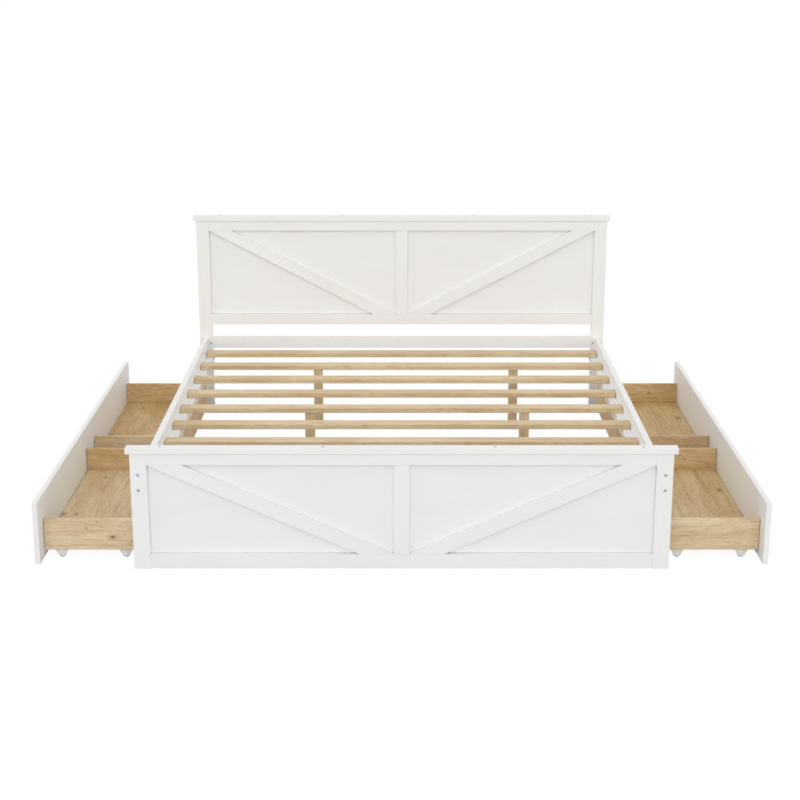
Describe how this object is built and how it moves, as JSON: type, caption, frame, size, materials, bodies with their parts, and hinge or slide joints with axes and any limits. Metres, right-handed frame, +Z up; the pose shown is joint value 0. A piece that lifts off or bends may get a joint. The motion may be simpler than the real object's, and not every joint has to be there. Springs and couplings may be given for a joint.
{
  "type": "platform bed with storage drawers",
  "caption": "Low platform bed with a panelled headboard and footboard, a slatted mattress deck and rolling under-bed storage drawers.",
  "frame": {"origin": "on the floor, below the middle of the whole object's box", "axes": "+X to the right seen from the foot of the bed, +Y from the footboard to the headboard, +Z up"},
  "size_m": [2.785, 2.16, 0.987],
  "materials": {
    "white_paint": "smooth satin white paint on solid wood and board",
    "slat_wood": "bare pale softwood, sanded, light varnish",
    "drawer_wood": "knotty oak veneer, matt varnish",
    "drawer_floor_wood": "knotty oak veneer with cathedral grain, matt varnish",
    "caster_wheel": "grey nylon wheel",
    "caster_housing": "moulded off-white plastic",
    "bolt_steel": "zinc-plated steel",
    "cap_plug": "grey push-in plug"
  },
  "bodies": {
    "bed_frame": {"footboard_cap": "white_paint", "footboard_post_left": "white_paint", "footboard_post_right": "white_paint", "footboard_top_rail": "white_paint", "footboard_bottom_rail": "white_paint", "footboard_panel": "white_paint", "footboard_brace_left": "white_paint", "footboard_brace_right": "white_paint", "headboard_cap": "white_paint", "headboard_post_left": "white_paint", "headboard_post_right": "white_paint", "headboard_top_rail": "white_paint", "headboard_bottom_rail": "white_paint", "headboard_panel": "white_paint", "headboard_brace_left": "white_paint", "headboard_brace_right": "white_paint", "headboard_cross_rail": "white_paint", "side_rail_left": "white_paint", "side_rail_right": "white_paint", "slat_1": "slat_wood", "slat_2": "slat_wood", "slat_3": "slat_wood", "slat_4": "slat_wood", "slat_5": "slat_wood", "slat_6": "slat_wood", "slat_7": "slat_wood", "slat_8": "slat_wood", "slat_9": "slat_wood", "leg_middle_left": "slat_wood", "leg_middle_right": "slat_wood", "leg_head_left": "slat_wood", "leg_head_right": "slat_wood"},
    "drawer_left_foot": {"drawer_left_foot_front": "white_paint", "drawer_left_foot_box": "drawer_wood", "drawer_left_foot_base": "drawer_floor_wood"},
    "drawer_left_head": {"drawer_left_head_front": "white_paint", "drawer_left_head_box": "drawer_wood", "drawer_left_head_base": "drawer_floor_wood"},
    "drawer_right_foot": {"drawer_right_foot_front": "white_paint", "drawer_right_foot_box": "drawer_wood", "drawer_right_foot_base": "drawer_floor_wood"},
    "drawer_right_head": {"drawer_right_head_front": "white_paint", "drawer_right_head_box": "drawer_wood", "drawer_right_head_base": "drawer_floor_wood"},
    "drawer_left_foot_wheel_1": {"drawer_left_foot_wheel_1": "caster_wheel"},
    "drawer_left_foot_wheel_2": {"drawer_left_foot_wheel_2": "caster_wheel"},
    "drawer_left_foot_wheel_3": {"drawer_left_foot_wheel_3": "caster_wheel"},
    "drawer_left_foot_wheel_4": {"drawer_left_foot_wheel_4": "caster_wheel"},
    "drawer_left_head_wheel_1": {"drawer_left_head_wheel_1": "caster_wheel"},
    "drawer_left_head_wheel_2": {"drawer_left_head_wheel_2": "caster_wheel"},
    "drawer_left_head_wheel_3": {"drawer_left_head_wheel_3": "caster_wheel"},
    "drawer_left_head_wheel_4": {"drawer_left_head_wheel_4": "caster_wheel"},
    "drawer_right_foot_wheel_1": {"drawer_right_foot_wheel_1": "caster_wheel"},
    "drawer_right_foot_wheel_2": {"drawer_right_foot_wheel_2": "caster_wheel"},
    "drawer_right_foot_wheel_3": {"drawer_right_foot_wheel_3": "caster_wheel"},
    "drawer_right_foot_wheel_4": {"drawer_right_foot_wheel_4": "caster_wheel"},
    "drawer_right_head_wheel_1": {"drawer_right_head_wheel_1": "caster_wheel"},
    "drawer_right_head_wheel_2": {"drawer_right_head_wheel_2": "caster_wheel"},
    "drawer_right_head_wheel_3": {"drawer_right_head_wheel_3": "caster_wheel"},
    "drawer_right_head_wheel_4": {"drawer_right_head_wheel_4": "caster_wheel"}
  },
  "joints": [
    {"name": "drawer_left_foot_slide", "type": "slide", "parent": "bed_frame", "child": "drawer_left_foot", "axis": [-1, 0, 0], "range_m": [-0.4, 0.06]},
    {"name": "drawer_left_head_slide", "type": "slide", "parent": "bed_frame", "child": "drawer_left_head", "axis": [-1, 0, 0], "range_m": [-0.4, 0.06]},
    {"name": "drawer_right_foot_slide", "type": "slide", "parent": "bed_frame", "child": "drawer_right_foot", "axis": [1, 0, 0], "range_m": [-0.4, 0.06]},
    {"name": "drawer_right_head_slide", "type": "slide", "parent": "bed_frame", "child": "drawer_right_head", "axis": [1, 0, 0], "range_m": [-0.4, 0.06]},
    {"name": "drawer_left_foot_wheel_1_spin", "type": "hinge", "parent": "drawer_left_foot", "child": "drawer_left_foot_wheel_1", "pos_m": [-1.3075, -0.948, 0.015], "axis": [0, 1, 0], "continuous": true},
    {"name": "drawer_left_foot_wheel_2_spin", "type": "hinge", "parent": "drawer_left_foot", "child": "drawer_left_foot_wheel_2", "pos_m": [-1.3075, -0.104, 0.015], "axis": [0, 1, 0], "continuous": true},
    {"name": "drawer_left_foot_wheel_3_spin", "type": "hinge", "parent": "drawer_left_foot", "child": "drawer_left_foot_wheel_3", "pos_m": [-1.0605, -0.948, 0.015], "axis": [0, 1, 0], "continuous": true},
    {"name": "drawer_left_foot_wheel_4_spin", "type": "hinge", "parent": "drawer_left_foot", "child": "drawer_left_foot_wheel_4", "pos_m": [-1.0605, -0.104, 0.015], "axis": [0, 1, 0], "continuous": true},
    {"name": "drawer_left_head_wheel_1_spin", "type": "hinge", "parent": "drawer_left_head", "child": "drawer_left_head_wheel_1", "pos_m": [-1.3075, 0.092, 0.015], "axis": [0, 1, 0], "continuous": true},
    {"name": "drawer_left_head_wheel_2_spin", "type": "hinge", "parent": "drawer_left_head", "child": "drawer_left_head_wheel_2", "pos_m": [-1.3075, 0.936, 0.015], "axis": [0, 1, 0], "continuous": true},
    {"name": "drawer_left_head_wheel_3_spin", "type": "hinge", "parent": "drawer_left_head", "child": "drawer_left_head_wheel_3", "pos_m": [-1.0605, 0.092, 0.015], "axis": [0, 1, 0], "continuous": true},
    {"name": "drawer_left_head_wheel_4_spin", "type": "hinge", "parent": "drawer_left_head", "child": "drawer_left_head_wheel_4", "pos_m": [-1.0605, 0.936, 0.015], "axis": [0, 1, 0], "continuous": true},
    {"name": "drawer_right_foot_wheel_1_spin", "type": "hinge", "parent": "drawer_right_foot", "child": "drawer_right_foot_wheel_1", "pos_m": [1.3075, -0.948, 0.015], "axis": [0, 1, 0], "continuous": true},
    {"name": "drawer_right_foot_wheel_2_spin", "type": "hinge", "parent": "drawer_right_foot", "child": "drawer_right_foot_wheel_2", "pos_m": [1.3075, -0.104, 0.015], "axis": [0, 1, 0], "continuous": true},
    {"name": "drawer_right_foot_wheel_3_spin", "type": "hinge", "parent": "drawer_right_foot", "child": "drawer_right_foot_wheel_3", "pos_m": [1.0605, -0.948, 0.015], "axis": [0, 1, 0], "continuous": true},
    {"name": "drawer_right_foot_wheel_4_spin", "type": "hinge", "parent": "drawer_right_foot", "child": "drawer_right_foot_wheel_4", "pos_m": [1.0605, -0.104, 0.015], "axis": [0, 1, 0], "continuous": true},
    {"name": "drawer_right_head_wheel_1_spin", "type": "hinge", "parent": "drawer_right_head", "child": "drawer_right_head_wheel_1", "pos_m": [1.3075, 0.092, 0.015], "axis": [0, 1, 0], "continuous": true},
    {"name": "drawer_right_head_wheel_2_spin", "type": "hinge", "parent": "drawer_right_head", "child": "drawer_right_head_wheel_2", "pos_m": [1.3075, 0.936, 0.015], "axis": [0, 1, 0], "continuous": true},
    {"name": "drawer_right_head_wheel_3_spin", "type": "hinge", "parent": "drawer_right_head", "child": "drawer_right_head_wheel_3", "pos_m": [1.0605, 0.092, 0.015], "axis": [0, 1, 0], "continuous": true},
    {"name": "drawer_right_head_wheel_4_spin", "type": "hinge", "parent": "drawer_right_head", "child": "drawer_right_head_wheel_4", "pos_m": [1.0605, 0.936, 0.015], "axis": [0, 1, 0], "continuous": true}
  ],
  "couplings": [
    {"joint": "drawer_left_foot_wheel_1_spin", "follows": "drawer_left_foot_slide", "rad_per_m": -66.667},
    {"joint": "drawer_left_foot_wheel_2_spin", "follows": "drawer_left_foot_slide", "rad_per_m": -66.667},
    {"joint": "drawer_left_foot_wheel_3_spin", "follows": "drawer_left_foot_slide", "rad_per_m": -66.667},
    {"joint": "drawer_left_foot_wheel_4_spin", "follows": "drawer_left_foot_slide", "rad_per_m": -66.667},
    {"joint": "drawer_left_head_wheel_1_spin", "follows": "drawer_left_head_slide", "rad_per_m": -66.667},
    {"joint": "drawer_left_head_wheel_2_spin", "follows": "drawer_left_head_slide", "rad_per_m": -66.667},
    {"joint": "drawer_left_head_wheel_3_spin", "follows": "drawer_left_head_slide", "rad_per_m": -66.667},
    {"joint": "drawer_left_head_wheel_4_spin", "follows": "drawer_left_head_slide", "rad_per_m": -66.667},
    {"joint": "drawer_right_foot_wheel_1_spin", "follows": "drawer_right_foot_slide", "rad_per_m": 66.667},
    {"joint": "drawer_right_foot_wheel_2_spin", "follows": "drawer_right_foot_slide", "rad_per_m": 66.667},
    {"joint": "drawer_right_foot_wheel_3_spin", "follows": "drawer_right_foot_slide", "rad_per_m": 66.667},
    {"joint": "drawer_right_foot_wheel_4_spin", "follows": "drawer_right_foot_slide", "rad_per_m": 66.667},
    {"joint": "drawer_right_head_wheel_1_spin", "follows": "drawer_right_head_slide", "rad_per_m": 66.667},
    {"joint": "drawer_right_head_wheel_2_spin", "follows": "drawer_right_head_slide", "rad_per_m": 66.667},
    {"joint": "drawer_right_head_wheel_3_spin", "follows": "drawer_right_head_slide", "rad_per_m": 66.667},
    {"joint": "drawer_right_head_wheel_4_spin", "follows": "drawer_right_head_slide", "rad_per_m": 66.667}
  ]
}
